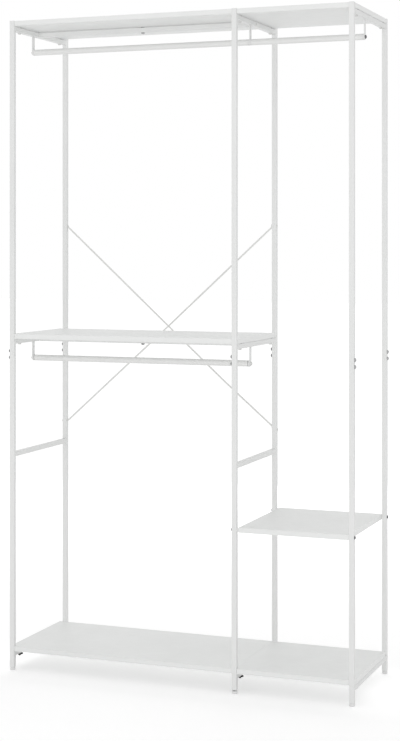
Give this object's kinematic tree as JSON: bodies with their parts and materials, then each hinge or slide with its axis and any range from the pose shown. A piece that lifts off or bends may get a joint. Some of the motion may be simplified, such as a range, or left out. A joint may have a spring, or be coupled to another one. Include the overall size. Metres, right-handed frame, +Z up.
{
  "type": "open frame wardrobe",
  "caption": "Open wardrobe of square steel tube with laminated boards, hanging rods in a wide and a narrow bay, crossed wire braces and levelling feet.",
  "frame": {"origin": "on the floor, under the middle of the whole width and depth", "axes": "+Z up, +X to the right as seen from the front, -Y to the front"},
  "size_m": [1.1026, 0.387, 2],
  "materials": {
    "paint": "satin white powder coat",
    "board": "white melamine laminate",
    "rod": "satin white powder coat",
    "hardware": "zinc plated",
    "dark_plastic": "moulded matte",
    "pale_plastic": "moulded matte"
  },
  "bodies": {
    "frame": {"left_front_lower_post": "paint", "left_front_splice": "hardware", "left_front_upper_post": "paint", "left_back_lower_post": "paint", "left_back_splice": "hardware", "left_back_upper_post": "paint", "left_bottom_rail": "paint", "left_top_rail": "paint", "left_top_strap": "paint", "left_rung": "paint", "left_middle_rail": "paint", "left_middle_strap": "paint", "left_bolt_fitting": "dark_plastic", "centre_front_lower_post": "paint", "centre_front_splice": "hardware", "centre_front_upper_post": "paint", "centre_back_lower_post": "paint", "centre_back_splice": "hardware", "centre_back_upper_post": "paint", "centre_bottom_rail": "paint", "centre_top_rail": "paint", "centre_top_strap": "paint", "centre_rung": "paint", "centre_middle_rail": "paint", "centre_middle_strap": "paint", "centre_bolt_fitting": "dark_plastic", "right_front_lower_post": "paint", "right_front_splice": "hardware", "right_front_upper_post": "paint", "right_back_lower_post": "paint", "right_back_splice": "hardware", "right_back_upper_post": "paint", "right_bottom_rail": "paint", "right_top_rail": "paint", "right_top_strap": "paint", "bottom_left_board": "board", "bottom_support_bar": "paint", "bottom_right_board": "board", "middle_left_board": "board", "middle_support_bar": "paint", "top_left_board": "board", "top_support_bar": "paint", "top_right_board": "board", "low_right_shelf": "board", "top_left_rod": "rod", "top_right_rod": "rod", "middle_left_rod": "rod", "left_top_rod_screw": "hardware", "centre_top_rod_stud": "hardware", "right_top_rod_screw": "hardware", "left_middle_rod_screw": "hardware", "centre_middle_rod_screw": "hardware", "falling_brace": "hardware", "rising_brace": "hardware"},
    "left_front_foot": {"left_front_foot": "pale_plastic"},
    "left_back_foot": {"left_back_foot": "pale_plastic"},
    "centre_front_foot": {"centre_front_foot": "pale_plastic"},
    "centre_back_foot": {"centre_back_foot": "pale_plastic"},
    "right_front_foot": {"right_front_foot": "pale_plastic"},
    "right_back_foot": {"right_back_foot": "pale_plastic"}
  },
  "joints": [
    {"name": "left_front_foot_turn", "type": "hinge", "parent": "frame", "child": "left_front_foot", "pos_m": [-0.5405, -0.185, 0], "axis": [0, 0, 1], "continuous": true},
    {"name": "left_back_foot_turn", "type": "hinge", "parent": "frame", "child": "left_back_foot", "pos_m": [-0.5405, 0.185, 0], "axis": [0, 0, 1], "continuous": true},
    {"name": "centre_front_foot_turn", "type": "hinge", "parent": "frame", "child": "centre_front_foot", "pos_m": [0.1865, -0.185, 0], "axis": [0, 0, 1], "continuous": true},
    {"name": "centre_back_foot_turn", "type": "hinge", "parent": "frame", "child": "centre_back_foot", "pos_m": [0.1865, 0.185, 0], "axis": [0, 0, 1], "continuous": true},
    {"name": "right_front_foot_turn", "type": "hinge", "parent": "frame", "child": "right_front_foot", "pos_m": [0.5405, -0.185, 0], "axis": [0, 0, 1], "continuous": true},
    {"name": "right_back_foot_turn", "type": "hinge", "parent": "frame", "child": "right_back_foot", "pos_m": [0.5405, 0.185, 0], "axis": [0, 0, 1], "continuous": true}
  ]
}
